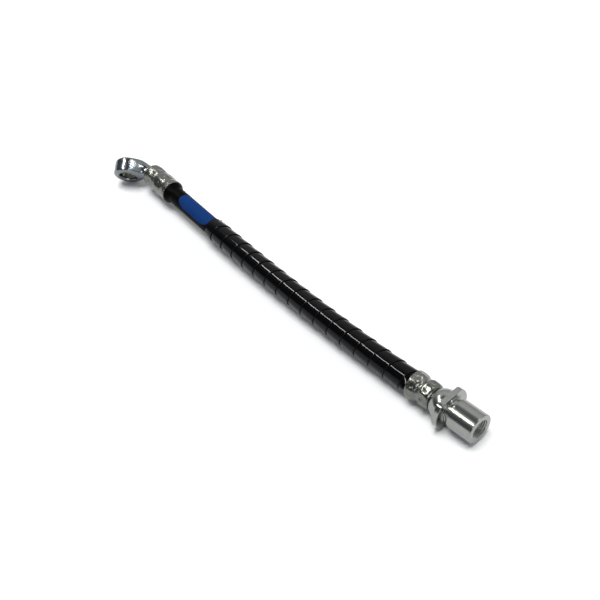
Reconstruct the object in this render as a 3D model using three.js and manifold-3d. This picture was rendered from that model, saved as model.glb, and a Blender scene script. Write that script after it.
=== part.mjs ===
// Hydraulic clutch hose for a car: a rubber hose with a banjo eye crimped to one end, a threaded
// bracket fitting crimped to the other, and a spiral guard wound over most of its length.
// Millimetres, +Z up. The hose lies as it comes to rest, on the flat of its bracket flange and on the
// rim of its eye. While the pieces are made, X = 0 is the mouth of the bracket fitting's ferrule and
// the fitting's axis runs along +X. At the end the whole hose is moved over the middle of its own box.

import * as THREE from 'three';
import { mergeVertices } from 'three/addons/utils/BufferGeometryUtils.js';
import Module from 'manifold-3d';

const wasm = await Module();
wasm.setup();

// Clearances
const bondGap = 0.05;          // between bonded hose layers
const crimpGap = 0.1;          // between rubber and the metal that grips it
const seatGap = 0.3;           // between pieces that meet end to end
const nippleGap = 0.12;        // between a nipple and the hose's bore

// Rubber hose: bore, then the layers outwards
const hoseBoreR = 1.6;
const innerTubeWall = 1.05;
const innerBraidWall = 0.55;
const outerBraidWall = 0.6;
const coverWall = 1.25;
const coverFlare = 4.4;        // length over which the cover widens into the banjo ferrule
const hoseSides = 14;
const hoseSteps = 11;

// Route of the hose between the two ferrule mouths
const hoseRun = 205;           // along X
const hoseSideStep = 12.2;     // along Y
const hoseEase = 68;           // length of the curve's handles
const banjoHeading = THREE.MathUtils.degToRad(6.2);

// Ferrule of the bracket fitting
const bracketFerrule = {
  length: 13.7, mouthR: 7.35, endR: 6.85, wall: 1, endWall: 1.1, shoulder: 2,
  grooves: [{ at: 6.3, depth: 0.95, reach: 1.5 }],
  rows: [{ at: 3.2, turn: 0 }, { at: 9.9, turn: 0.5 }],
};

// Ferrule of the banjo fitting
const banjoFerrule = {
  length: 25.6, mouthR: 7.05, endR: 6.85, wall: 1, endWall: 1.2, shoulder: 3.6,
  grooves: [{ at: 4.6, depth: 0.3, reach: 1.6 }, { at: 13.6, depth: 0.3, reach: 1.6 }],
  rows: [{ at: 9.2, turn: 0 }, { at: 17.6, turn: 0.5 }],
};

// Crimp dents, the same tool on both ferrules
const dentCount = 8;
const dentDepth = 0.6;
const dentReach = 1.9;
const mouthLip = 0.6;          // thickness of a ferrule's rim
const mouthBevel = 1.2;        // how far the rim's bevel reaches into the ferrule
const ferruleSides = 32;
const ferruleStep = 1.7;

// Bracket fitting, lengths along X counted from its ferrule's end
const shankR = 3.4;
const nippleR = hoseBoreR - nippleGap;
const passageR = 0.8;
const nippleSetback = 1.5;     // nipple tip inside the ferrule's mouth
const shoulderStartR = 6.1;
const shoulderEndR = 8;
const shoulderLength = 6.5;
const flangeR = 10.9;
const flangeThick = 2.9;
const flangeAcross = 17;       // across its two flats
const flangeCornerR = 3;       // where a flat runs into the round
const flangeBevel = 0.3;
const collarR = 7.3;
const collarLength = 0.9;
const clipGrooveR = 6.4;
const clipGrooveLength = 2;
const barrelR = 7.75;
const barrelLength = 13.8;
const barrelBevel = 0.5;
const threadHoleR = 4.55;
const threadMouthR = 5.2;
const threadDepth = 11;
const seatConeLength = 2.4;
const fittingSides = 32;

// Banjo fitting
const eyeR = 9;
const eyeThick = 9.6;
const eyeRound = 1.4;          // edge of the face that looks down
const eyeBackRound = 2;        // edge of the other face
const eyeHoleR = 5.1;
const eyeHoleBevel = 0.4;
const eyeTilt = THREE.MathUtils.degToRad(27.8);
const neckR = 3.4;
const neckStraight = 0.9;      // from the ferrule to the start of the bend
const neckBendR = 10;
const neckBend = THREE.MathUtils.degToRad(45.2);
const neckReach = 7.6;         // from the end of the bend to the eye's centre
const neckSides = 16;

// Spiral guard
const guardPitch = 10.05;
const guardOverlap = 1.5;
const guardThick = 0.45;
const guardLift = 0.08;        // between an edge and the next turn's lip over it
const guardSnug = 0.22;        // between the guard and the hose cover
const guardLipSlope = 3.8;     // how far the raised lip runs down to the strip
const guardBareEnd = 44;       // bare hose between the banjo ferrule and the guard
const guardPhase = THREE.MathUtils.degToRad(148);   // where the first lip meets the bracket ferrule
const guardFacets = 14;        // facets in one turn

// Identification mark on the bare hose
const markSetback = 13;        // from the banjo ferrule's mouth
const markThick = 0.15;
const markMiddle = THREE.MathUtils.degToRad(74);
const markHalfAngle = THREE.MathUtils.degToRad(52);
const markLowRound = 8.6;      // reach of the corners along its lower edge
const markHighRound = 2.8;     // and along its upper edge

// Sizes that follow from the ones above
const innerBraidR = hoseBoreR + innerTubeWall + bondGap;
const outerBraidR = innerBraidR + innerBraidWall + bondGap;
const coverInnerR = outerBraidR + outerBraidWall + bondGap;
const hoseOuterR = coverInnerR + coverWall;
const axisHeight = flangeAcross / 2;
const eyeHeight = (eyeR - eyeRound) * Math.cos(eyeTilt)
  + (eyeThick / 2 - eyeRound) * Math.sin(eyeTilt) + eyeRound;
const shankHoleR = shankR + crimpGap;
const rubber = { color: 0x0b0b0c, roughness: 0.55, metalness: 0 };
const zinc = { color: 0xb4b8bc, roughness: 0.25, metalness: 1 };
const up = new THREE.Vector3(0, 0, 1);
const fullTurn = 2 * Math.PI;

// Directions and points of the banjo end, counted from its ferrule's mouth
const banjoMouth = new THREE.Vector3(-hoseRun, hoseSideStep, eyeHeight);
const banjoAxis = new THREE.Vector3(-Math.cos(banjoHeading), Math.sin(banjoHeading), 0);
const eyeAxisFlat = banjoAxis.clone().applyAxisAngle(up, neckBend + Math.PI / 2);
const neckAxis = banjoAxis.clone().applyAxisAngle(up, neckBend);
const eyeAxis = eyeAxisFlat.clone().applyAxisAngle(neckAxis, -eyeTilt);

function bell(x) {
  return Math.exp(-x * x);
}

// A point at distance s along a straight axis, r out from it, at the given angle round it
function straightPlacer(origin, axis) {
  const side = new THREE.Vector3().crossVectors(up, axis).normalize();
  const lift = new THREE.Vector3().crossVectors(axis, side);
  return (s, r, angle) => origin.clone().addScaledVector(axis, s)
    .addScaledVector(side, r * Math.cos(angle)).addScaledVector(lift, r * Math.sin(angle));
}

// The same along a curve
function curvePlacer(curve) {
  const length = curve.getLength();
  return (s, r, angle) => {
    const at = THREE.MathUtils.clamp(s / length, 0, 1);
    return straightPlacer(curve.getPoint(at), curve.getTangent(at))(0, r, angle);
  };
}

// A closed skin over rings of points. The rings join up into a ring themselves, or end in the
// given faces, each a list of three places in a ring.
function skin(rings, endFaces) {
  const count = rings[0].length;
  const index = [];
  const spans = endFaces ? rings.length - 1 : rings.length;
  for (let i = 0; i < spans; i++) {
    const next = (i + 1) % rings.length;
    for (let j = 0; j < count; j++) {
      const k = (j + 1) % count;
      index.push(i * count + j, i * count + k, next * count + k);
      index.push(i * count + j, next * count + k, next * count + j);
    }
  }
  if (endFaces) {
    const last = (rings.length - 1) * count;
    for (const [a, b, c] of endFaces) {
      index.push(a, c, b);
      index.push(last + a, last + b, last + c);
    }
  }
  const geometry = new THREE.BufferGeometry().setFromPoints(rings.flat());
  geometry.setIndex(index);
  return geometry;
}

// The end faces of a ring that runs out through a number of points and back through as many
function foldedFaces(count) {
  const faces = [];
  for (let j = 0; j < count - 1; j++) {
    const opposite = 2 * count - 1 - j;
    faces.push([j, j + 1, opposite], [j + 1, opposite - 1, opposite]);
  }
  return faces;
}

// A wall revolved along an axis: each profile point is a distance s and a radius, or a radius that
// changes with the angle. The profile closes on itself, outside first.
function revolve(profile, sides, place) {
  return skin(profile.map(({ s, r }) => {
    const ring = [];
    for (let j = 0; j < sides; j++) {
      const angle = j / sides * fullTurn;
      ring.push(place(s, typeof r === 'function' ? r(angle) : r, angle));
    }
    return ring;
  }));
}

// Solids that can be joined and cut, and back
function toSolid(geometry) {
  const bare = geometry.clone();
  bare.deleteAttribute('normal');
  bare.deleteAttribute('uv');
  const merged = mergeVertices(bare, 1e-4);
  return new wasm.Manifold(new wasm.Mesh({
    numProp: 3,
    vertProperties: new Float32Array(merged.attributes.position.array),
    triVerts: new Uint32Array(merged.index.array),
  }));
}

function toGeometry(solid) {
  const { vertProperties, triVerts, numProp } = solid.getMesh();
  const geometry = new THREE.BufferGeometry();
  const points = [];
  for (let i = 0; i < vertProperties.length; i += numProp) {
    points.push(vertProperties[i], vertProperties[i + 1], vertProperties[i + 2]);
  }
  geometry.setAttribute('position', new THREE.Float32BufferAttribute(points, 3));
  geometry.setIndex(Array.from(triVerts));
  return geometry;
}

// A profile of [distance, radius] points turned round the X axis
function turned(profile, sides) {
  const points = profile.map(([along, radius]) => new THREE.Vector2(radius, along));
  return new THREE.LatheGeometry(points, sides).rotateZ(-Math.PI / 2);
}

// A round bar along a curve
function bar(curve, radius, sides, steps) {
  const section = new THREE.Shape().absarc(0, 0, radius, 0, fullTurn);
  return new THREE.ExtrudeGeometry(section, { curveSegments: sides, steps, extrudePath: curve });
}

// Distances along a ferrule where its inside turns: bevel, rows, grooves, halfway between, end wall
function ferruleStations(ferrule) {
  const turns = [...ferrule.rows, ...ferrule.grooves].map((feature) => feature.at);
  const main = [mouthBevel, ...turns.sort((a, b) => a - b), ferrule.length - ferrule.endWall];
  return main.flatMap((s, i) => (i ? [0.5 * (s + main[i - 1]), s] : [s]));
}

function ferruleBodyR(ferrule, s) {
  let r = THREE.MathUtils.lerp(ferrule.mouthR, ferrule.endR, s / ferrule.length);
  for (const groove of ferrule.grooves) r -= groove.depth * bell((s - groove.at) / groove.reach);
  return r;
}

function ferruleOuterR(ferrule, s, angle) {
  let r = ferruleBodyR(ferrule, s);
  for (const row of ferrule.rows) {
    const round = 0.5 + 0.5 * Math.cos(dentCount * angle + row.turn * fullTurn);
    r -= dentDepth * bell((s - row.at) / dentReach) * round ** 2;
  }
  const past = Math.max(0, s - ferrule.length + ferrule.shoulder) / ferrule.shoulder;
  return r - 0.6 * ferrule.shoulder * (1 - Math.sqrt(1 - 0.9 * past * past));
}

function ferruleInnerR(ferrule, s) {
  let r = ferruleBodyR(ferrule, s) - ferrule.wall;
  for (const row of ferrule.rows) r -= dentDepth * bell((s - row.at) / dentReach);
  return r;
}

// A crimped ferrule: the dented outside, the end wall with the hole for the shank, and the inside
function ferruleGeometry(ferrule, place) {
  const profile = [];
  const steps = Math.round(ferrule.length / ferruleStep) + 2;
  for (let i = 0; i <= steps; i++) {
    const s = ferrule.length * i / steps;
    profile.push({ s, r: (angle) => ferruleOuterR(ferrule, s, angle) });
  }
  const inside = ferruleStations(ferrule).reverse();
  profile.push({ s: ferrule.length, r: shankHoleR });
  profile.push({ s: inside[0], r: shankHoleR });
  for (const s of inside) profile.push({ s, r: ferruleInnerR(ferrule, s) });
  profile.push({ s: 0, r: ferrule.mouthR - mouthLip });
  return revolve(profile, ferruleSides, place);
}

// Hose route: straight in both ferrules, one easy bend between them
const bracketInsert = bracketFerrule.length - bracketFerrule.endWall - seatGap;
const banjoInsert = banjoFerrule.length - banjoFerrule.endWall - seatGap;
const bracketMouth = new THREE.Vector3(0, 0, axisHeight);
const route = new THREE.CurvePath();
route.add(new THREE.LineCurve3(new THREE.Vector3(bracketInsert, 0, axisHeight), bracketMouth));
route.add(new THREE.CubicBezierCurve3(
  bracketMouth,
  new THREE.Vector3(-hoseEase, 0, axisHeight),
  banjoMouth.clone().addScaledVector(banjoAxis, -hoseEase),
  banjoMouth,
));
route.add(new THREE.LineCurve3(
  banjoMouth, banjoMouth.clone().addScaledVector(banjoAxis, banjoInsert),
));
const onRoute = curvePlacer(route);
const hoseLength = route.getLength();
const banjoMouthS = hoseLength - banjoInsert;
const freeLength = banjoMouthS - bracketInsert;

// A plain wall of the hose from end to end, at one radius
function plainWall(r) {
  const wall = [];
  for (let i = 0; i <= hoseSteps; i++) wall.push({ s: hoseLength * i / hoseSteps, r });
  return wall;
}

function layerGeometry(innerR, outerR) {
  return revolve([...plainWall(outerR), ...plainWall(innerR).reverse()], hoseSides, onRoute);
}

// The cover fills both ferrules, and flares where it comes out of the banjo ferrule
function coverGeometry() {
  const outside = [];
  const gripped = (ferrule, s) => ferruleInnerR(ferrule, s) - crimpGap;
  for (const d of ferruleStations(bracketFerrule).reverse()) {
    if (d < bracketInsert) outside.push({ s: bracketInsert - d, r: gripped(bracketFerrule, d) });
  }
  outside.unshift({ s: 0, r: gripped(bracketFerrule, bracketInsert) });
  for (let i = 0; i <= hoseSteps; i++) {
    outside.push({ s: bracketInsert + (freeLength - coverFlare) * i / hoseSteps, r: hoseOuterR });
  }
  const flareR = banjoFerrule.mouthR - mouthLip - crimpGap;
  for (const [part, rise] of [[0.5, 0.3], [0.2, 0.88]]) {
    outside.push({ s: banjoMouthS - part * coverFlare, r: THREE.MathUtils.lerp(hoseOuterR, flareR, rise) });
  }
  outside.push({ s: banjoMouthS, r: flareR });
  for (const d of ferruleStations(banjoFerrule)) {
    if (d < banjoInsert) outside.push({ s: banjoMouthS + d, r: gripped(banjoFerrule, d) });
  }
  outside.push({ s: hoseLength, r: gripped(banjoFerrule, banjoInsert) });
  return revolve([...outside, ...plainWall(coverInnerR).reverse()], hoseSides, onRoute);
}

// Section of the guard's strip between two distances v from its raised edge. The raised edge lies
// over the edge of the turn before it, which is tucked under.
const guardWidth = guardPitch + guardOverlap;
const guardInnerR = hoseOuterR + guardSnug;
const guardTuckR = guardInnerR + guardThick;
const guardLipInnerR = guardTuckR + guardLift;
const guardOuterR = guardLipInnerR + guardThick;
const lipStep = 0.1;

function guardTopR(v) {
  return v < guardLipSlope ? THREE.MathUtils.lerp(guardOuterR, guardTuckR, v / guardLipSlope) : guardTuckR;
}

function guardUnderR(v) {
  const past = THREE.MathUtils.clamp((v - guardOverlap - lipStep) / (4 * lipStep), 0, 1);
  return THREE.MathUtils.lerp(guardLipInnerR, guardInnerR, past);
}

function guardSection(from, to) {
  const kept = (v, place) => THREE.MathUtils.clamp(v, from + place * lipStep, to - (4 - place) * lipStep);
  const over = [from, kept(lipStep, 1), kept(guardLipSlope, 2), to];
  const under = [to, kept(guardOverlap + 5 * lipStep, 2), kept(guardOverlap + lipStep, 1), from];
  const points = over.map((v) => [v, guardTopR(v) - (v === from ? lipStep : 0)]);
  for (const v of under) points.push([v, guardUnderR(v)]);
  return points;
}

// The spiral guard: the strip wound along the hose, with each raised lip on the side of the bracket
// fitting, and cut square at the bracket ferrule's mouth and where it ends on the bare hose
function guardGeometry() {
  const first = bracketInsert + seatGap;
  const last = banjoMouthS - guardBareEnd;
  const least = 5 * lipStep;
  const facetStep = guardPitch / guardFacets;
  const firstFacet = Math.ceil((least - guardWidth) / facetStep);
  const lastFacet = Math.floor((last - first - least) / facetStep);
  const rings = [];
  for (let i = firstFacet; i <= lastFacet; i++) {
    const start = first + i * facetStep;
    const from = Math.max(0, first - start);
    const to = Math.min(guardWidth, last - start);
    const angle = guardPhase - i / guardFacets * fullTurn;
    rings.push(guardSection(from, to).map(([v, r]) => onRoute(start + v, r, angle)));
  }
  return skin(rings, foldedFaces(4));
}

// The mark: a thin skin on the bare hose, from the guard's end towards the ferrule, its corners round
function markGeometry() {
  const innerR = hoseOuterR + bondGap;
  const end = banjoMouthS - markSetback;
  const start = banjoMouthS - guardBareEnd + seatGap;
  const across = 12;
  const along = 4;
  const rings = [];
  for (let i = 0; i <= across; i++) {
    const x = 2 * i / across - 1;
    const angle = markMiddle + x * markHalfAngle;
    const past = Math.max(0, Math.abs(x) - 0.2) / 0.8;
    const inset = (x < 0 ? markLowRound : markHighRound) * (1 - Math.sqrt(1 - 0.96 * past * past));
    const place = (j, r) => onRoute(THREE.MathUtils.lerp(start + inset, end - inset, j / along), r, angle);
    const ring = [];
    for (let j = 0; j <= along; j++) ring.push(place(j, innerR));
    for (let j = along; j >= 0; j--) ring.push(place(j, innerR + markThick));
    rings.push(ring);
  }
  return skin(rings, foldedFaces(along + 1));
}

// The flange: a round plate with two flats, whose corners are rounded, and bevelled edges. Its back
// lies in the plane X = 0.
function flangeGeometry() {
  const flat = flangeAcross / 2 - flangeBevel;
  const round = flangeR - flangeBevel;
  const cornerX = Math.sqrt((round - flangeCornerR) ** 2 - (flat - flangeCornerR) ** 2);
  const cornerZ = flat - flangeCornerR;
  const tangent = Math.atan2(cornerZ, cornerX);
  const quarter = Math.PI / 2;
  const outline = new THREE.Shape();
  outline.absarc(0, 0, round, -tangent, tangent);
  outline.absarc(cornerX, cornerZ, flangeCornerR, tangent, quarter);
  outline.absarc(-cornerX, cornerZ, flangeCornerR, quarter, 2 * quarter - tangent);
  outline.absarc(0, 0, round, 2 * quarter - tangent, 2 * quarter + tangent);
  outline.absarc(-cornerX, -cornerZ, flangeCornerR, 2 * quarter + tangent, 3 * quarter);
  outline.absarc(cornerX, -cornerZ, flangeCornerR, 3 * quarter, 4 * quarter - tangent);
  const plate = new THREE.ExtrudeGeometry(outline, {
    curveSegments: 4,
    depth: flangeThick - 2 * flangeBevel,
    bevelThickness: flangeBevel,
    bevelSize: flangeBevel,
    bevelSegments: 1,
  });
  const toAxis = new THREE.Matrix4().makeBasis(new THREE.Vector3(0, 1, 0), up, new THREE.Vector3(1, 0, 0));
  return plate.translate(0, 0, flangeBevel).applyMatrix4(toAxis);
}

// The bracket fitting: nipple, shank, domed shoulder, flange with two flats, clip groove and barrel
// with its threaded hole down to a cone seat
function bracketFittingGeometry() {
  const shoulderStart = bracketFerrule.length + seatGap;
  const flangeBack = shoulderStart + shoulderLength;
  const flangeFront = flangeBack + flangeThick;
  const grooveStart = flangeFront + collarLength;
  const barrelStart = grooveStart + clipGrooveLength;
  const front = barrelStart + barrelLength;
  const holeEnd = front - threadDepth;
  const shoulder = [];
  for (let i = 0; i <= 5; i++) {
    const x = i / 5;
    const rise = Math.sin(0.5 * Math.PI * x);
    shoulder.push([shoulderStart + 0.8 * shoulderLength * x,
      THREE.MathUtils.lerp(shoulderStartR, shoulderEndR, rise)]);
  }
  const profile = [
    [nippleSetback, passageR],
    [nippleSetback, nippleR - bondGap],
    [nippleSetback + 1, nippleR],
    [bracketInsert + seatGap, nippleR],
    [bracketInsert + seatGap, shankR],
    [shoulderStart, shankR],
    ...shoulder,
    [0.5 * (flangeBack + flangeFront), shoulderEndR],
    [0.5 * (flangeBack + flangeFront), collarR],
    [grooveStart, collarR],
    [grooveStart, clipGrooveR],
    [barrelStart, clipGrooveR],
    [barrelStart, barrelR - barrelBevel],
    [barrelStart + barrelBevel, barrelR],
    [front - barrelBevel, barrelR],
    [front, barrelR - barrelBevel],
    [front, threadMouthR],
    [front - (threadMouthR - threadHoleR), threadHoleR],
    [holeEnd, threadHoleR],
    [holeEnd - seatConeLength, passageR],
    [nippleSetback, passageR],
  ];
  const flange = flangeGeometry().translate(flangeBack, 0, 0);
  const inside = turned([
    [nippleSetback, 0], [nippleSetback, passageR], [grooveStart, passageR], [grooveStart, 0],
  ], fittingSides);
  const solid = toSolid(turned(profile, fittingSides)).add(toSolid(flange)).subtract(toSolid(inside));
  return toGeometry(solid).translate(0, 0, axisHeight);
}

// A bend that is tangent to both directions
function bendCurve(from, directionIn, directionOut, radius, angle) {
  const handle = 4 / 3 * Math.tan(angle / 4) * radius;
  const tangentLength = Math.tan(angle / 2) * radius;
  const corner = from.clone().addScaledVector(directionIn, tangentLength);
  const to = corner.addScaledVector(directionOut, tangentLength);
  return new THREE.CubicBezierCurve3(
    from,
    from.clone().addScaledVector(directionIn, handle),
    to.clone().addScaledVector(directionOut, -handle),
    to,
  );
}

// A quarter round from a face at the given height out to a rim, as [height, radius] points
function roundedEdge(height, rim, radius) {
  const steps = 3;
  const points = [];
  for (let i = 0; i <= steps; i++) {
    const turn = i / steps * 0.5 * Math.PI;
    points.push([height - radius * (1 - Math.cos(turn)), rim - radius * (1 - Math.sin(turn))]);
  }
  return points;
}

// The banjo fitting: nipple and shank in the ferrule, bent neck, and the eye with its cross hole
function banjoFittingGeometry() {
  const along = (s) => banjoMouth.clone().addScaledVector(banjoAxis, s);
  const shankStart = banjoInsert + seatGap;
  const bendStart = along(banjoFerrule.length + neckStraight);
  const bend = bendCurve(bendStart, banjoAxis, neckAxis, neckBendR, neckBend);
  const eyeCentre = bend.v3.clone().addScaledVector(neckAxis, neckReach);

  const neckPath = new THREE.CurvePath();
  neckPath.add(new THREE.LineCurve3(along(shankStart), bendStart));
  neckPath.add(bend);
  neckPath.add(new THREE.LineCurve3(bend.v3, eyeCentre));
  const nipplePath = new THREE.LineCurve3(along(nippleSetback), along(shankStart + 1));
  const passagePath = new THREE.CurvePath();
  passagePath.add(new THREE.LineCurve3(along(nippleSetback - 1), bendStart));
  passagePath.add(bend);
  passagePath.add(new THREE.LineCurve3(bend.v3, eyeCentre));

  const half = eyeThick / 2;
  const discProfile = [
    [-half, 0],
    ...roundedEdge(half, eyeR, eyeBackRound).map(([along, r]) => [-along, r]),
    ...roundedEdge(half, eyeR, eyeRound).reverse(),
    [half, 0],
  ];
  const past = 1;
  const holeProfile = [
    [-half - past, 0],
    [-half - past, eyeHoleR + eyeHoleBevel + past],
    [-half + eyeHoleBevel, eyeHoleR],
    [half - eyeHoleBevel, eyeHoleR],
    [half + past, eyeHoleR + eyeHoleBevel + past],
    [half + past, 0],
  ];
  const third = new THREE.Vector3().crossVectors(eyeAxis, neckAxis);
  const toEye = new THREE.Matrix4().makeBasis(eyeAxis, neckAxis, third).setPosition(eyeCentre);
  const disc = toSolid(turned(discProfile, fittingSides).applyMatrix4(toEye));
  const hole = toSolid(turned(holeProfile, fittingSides).applyMatrix4(toEye));
  const neck = toSolid(bar(neckPath, neckR, neckSides, 12));
  const nipple = toSolid(bar(nipplePath, nippleR, neckSides, 1));
  const passage = toSolid(bar(passagePath, passageR, 8, 12));
  return toGeometry(disc.add(neck).add(nipple).subtract(hole).subtract(passage));
}

const group = new THREE.Group();

function addPiece(name, geometry, look) {
  geometry.deleteAttribute('normal');
  geometry.computeVertexNormals();
  const mesh = new THREE.Mesh(geometry, new THREE.MeshStandardMaterial(look));
  mesh.name = name;
  group.add(mesh);
}

const fromBracketMouth = straightPlacer(bracketMouth, new THREE.Vector3(1, 0, 0));
const fromBanjoMouth = straightPlacer(banjoMouth, banjoAxis);
const cord = { color: 0xd8d2c0, roughness: 0.9, metalness: 0 };
const glossPlastic = { color: 0x050506, roughness: 0.2, metalness: 0 };
const paint = { color: 0x0b3d80, roughness: 0.5, metalness: 0 };

addPiece('bracket_fitting', bracketFittingGeometry(), zinc);
addPiece('bracket_ferrule', ferruleGeometry(bracketFerrule, fromBracketMouth), zinc);
addPiece('banjo_fitting', banjoFittingGeometry(), zinc);
addPiece('banjo_ferrule', ferruleGeometry(banjoFerrule, fromBanjoMouth), zinc);
addPiece('hose_inner_tube', layerGeometry(hoseBoreR, hoseBoreR + innerTubeWall), rubber);
addPiece('hose_inner_braid', layerGeometry(innerBraidR, innerBraidR + innerBraidWall), cord);
addPiece('hose_outer_braid', layerGeometry(outerBraidR, outerBraidR + outerBraidWall), cord);
addPiece('hose_cover', coverGeometry(), rubber);
addPiece('spiral_guard', guardGeometry(), glossPlastic);
addPiece('identification_mark', markGeometry(), paint);

const box = new THREE.Box3().setFromObject(group);
const middle = box.getCenter(new THREE.Vector3());
group.position.set(-middle.x, -middle.y, -box.min.z);

export default group;
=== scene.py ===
"""Hydraulic clutch hose: banjo eye, threaded bracket fitting, spiral guard and a blue mark.

Sizes are in millimetres and turned to metres where a mesh is made. X = 0 is the mouth of the
bracket fitting's ferrule, the fitting's axis runs along +X, and the floor is Z = 0.
"""

import bmesh
import bpy
import numpy as np
from mathutils import Matrix, Vector


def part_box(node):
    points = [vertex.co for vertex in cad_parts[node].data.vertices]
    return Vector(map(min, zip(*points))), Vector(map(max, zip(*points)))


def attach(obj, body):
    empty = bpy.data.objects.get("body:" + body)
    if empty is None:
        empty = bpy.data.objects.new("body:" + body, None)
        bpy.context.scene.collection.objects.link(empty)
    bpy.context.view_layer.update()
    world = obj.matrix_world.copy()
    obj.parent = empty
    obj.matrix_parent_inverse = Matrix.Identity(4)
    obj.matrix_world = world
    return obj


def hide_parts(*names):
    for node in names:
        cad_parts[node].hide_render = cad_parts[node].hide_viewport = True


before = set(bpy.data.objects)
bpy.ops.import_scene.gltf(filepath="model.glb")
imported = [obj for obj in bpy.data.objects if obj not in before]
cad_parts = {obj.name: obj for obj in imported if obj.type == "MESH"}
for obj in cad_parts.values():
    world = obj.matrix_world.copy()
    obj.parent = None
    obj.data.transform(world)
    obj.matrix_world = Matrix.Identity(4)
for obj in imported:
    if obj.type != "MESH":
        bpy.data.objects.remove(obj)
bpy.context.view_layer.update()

MM = 0.001
TURN = 2 * np.pi
UP = np.array([0.0, 0.0, 1.0])

ferrule_low, ferrule_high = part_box("bracket_ferrule")
fitting_low, fitting_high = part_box("bracket_fitting")
ORIGIN = np.array([ferrule_low[0], 0.5 * (fitting_low[1] + fitting_high[1]), 0.0])

# Clearances
SEAT_GAP = 0.3
CRIMP_GAP = 0.1

# Hose
COVER_INNER_R = 3.95
HOSE_R = 5.2
COVER_FLARE = 4.4
COVER_GRIP_EASE = 1.2
COVER_SIDES = 112
HOSE_RUN = 205.0
HOSE_SIDE_STEP = 12.2
HOSE_EASE = 68.0
BANJO_HEADING = np.radians(6.2)
ROUTE_POINTS = 3001
ROUTE_LOOK = 0.2

# Ferrules. A groove runs right round: its distance from the mouth, depth and reach.
# A row of crimp dents: its distance from the mouth, and the part of a dent's spacing it is turned.
BRACKET_FERRULE = {
    "length": 13.7, "mouth_r": 7.35, "end_r": 6.85, "wall": 1.0, "end_wall": 1.1, "shoulder": 2.0,
    "grooves": [(6.3, 0.95, 1.5)],
    "rows": [(3.2, 0.0), (9.9, 0.5)],
}
BANJO_FERRULE = {
    "length": 25.6, "mouth_r": 7.05, "end_r": 6.85, "wall": 1.0, "end_wall": 1.2, "shoulder": 3.6,
    "grooves": [(4.6, 0.3, 1.6), (13.6, 0.3, 1.6)],
    "rows": [(9.2, 0.0), (17.6, 0.5)],
}
DENT_COUNT = 8
DENT_DEPTH = 0.45
DENT_REACH = 2.1
DENT_SHARPNESS = 1.6
RIDGE_HEIGHT = 0.12
RIDGE_REACH = 1.5 * DENT_REACH
RIDGE_SHARPNESS = 6
SHOULDER_DROP = 0.6
MOUTH_LIP = 0.6
MOUTH_BEVEL = 1.2
MOUTH_ROUND = 0.3
FERRULE_SIDES = 256
FERRULE_STEP = 0.16
FERRULE_INSIDE_STEP = 0.4
MOUTH_ROWS = 6
SHOULDER_ROWS = 22

# Bracket fitting
SHANK_R = 3.4
NIPPLE_R = 1.48
PASSAGE_R = 0.8
NIPPLE_SETBACK = 1.5
SHOULDER_START_R = 6.1
SHOULDER_END_R = 8.0
SHOULDER_LENGTH = 6.5
FLANGE_R = 10.9
FLANGE_THICK = 2.9
FLANGE_ACROSS = 17.0
FLANGE_CORNER_R = 3.3
FLANGE_BEVEL = 0.3
COLLAR_R = 7.3
COLLAR_LENGTH = 0.9
CLIP_GROOVE_R = 6.4
CLIP_GROOVE_LENGTH = 2.0
BARREL_R = 7.75
BARREL_LENGTH = 13.8
THREAD_HOLE_R = 4.55
THREAD_R = 5.0
THREAD_MOUTH_R = 5.2
THREAD_PITCH = 1.0
THREAD_DEPTH = 11.0
SEAT_CONE_LENGTH = 2.4
THREAD_STEEPNESS = 1.25
THREAD_CREST_FLAT = 0.1
THREAD_END_GAP = 0.6
THREAD_RUN_OUT = 1.5
THREAD_ROWS = 14
# Strength of the painted shade in the threaded hole; flanks facing the mouth stay light
THREAD_SHADE = 0.95
FLANK_RISE = 0.03
DOME_SHARE = 0.8
DOME_ROWS = 16
FITTING_SIDES = 240

# Roundings of the bracket fitting's edges and inner corners
BORE_EDGE = 0.1
NIPPLE_EDGE = 0.2
SHOULDER_EDGE = 0.45
FLANGE_ROOT = 0.12
COLLAR_ROOT = 0.2
COLLAR_EDGE = 0.4
CLIP_GROOVE_ROOT = 0.5
BARREL_BACK_EDGE = 0.6
BARREL_EDGE = 0.55
THREAD_MOUTH_EDGE = 0.08
HOLE_ROOT = 0.15

# Banjo fitting
EYE_R = 9.0
EYE_THICK = 9.6
EYE_ROUND = 1.4
EYE_BACK_ROUND = 2.0
EYE_HOLE_R = 5.1
EYE_HOLE_BEVEL = 0.7
EYE_TILT = np.radians(27.8)
NECK_R = 3.4
NECK_STRAIGHT = 0.9
NECK_BEND_R = 10.0
NECK_BEND = np.radians(45.2)
NECK_REACH = 7.6
NECK_FILLET = 5.0
NECK_SWELL = 0.9
NECK_SWELL_START = 18.0
NECK_SWELL_RUN = 9.0
NIPPLE_FILLET = 0.2
PASSAGE_EDGE = 0.15
# Farther than any point of the fitting
FAR = 1e3
# A smooth join this many times a bevel rounds the edge over by about the bevel
JOIN_FOR_BEVEL = 2.4

# Net over the banjo fitting's surface
NET_STEP = 0.18
NET_MARGIN = 0.6
NET_ROUNDS = 4
NET_PULL = 0.6
SETTLING_ROUNDS = 3
SLOPE_STEP = 0.004
LEAST_STEEPNESS = 0.2
BORE_FADE_START = 0.02
BORE_FADE = 0.3

# Spiral guard
GUARD_PITCH = 10.05
GUARD_OVERLAP = 1.5
GUARD_THICK = 0.45
GUARD_LIFT = 0.08
GUARD_SNUG = 0.22
GUARD_EDGE_ROUND = 0.22
GUARD_CURL = 0.08
GUARD_CURL_WIDTH = 0.6
GUARD_BARE_END = 44.0
GUARD_PHASE = np.radians(148)
GUARD_FACETS = 84
GUARD_UNDER_ROUND = 0.1
GUARD_LIP_CLEAR = 0.1
GUARD_LIP_FALL = 0.5
GUARD_LEAST_CUT = 0.5

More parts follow.
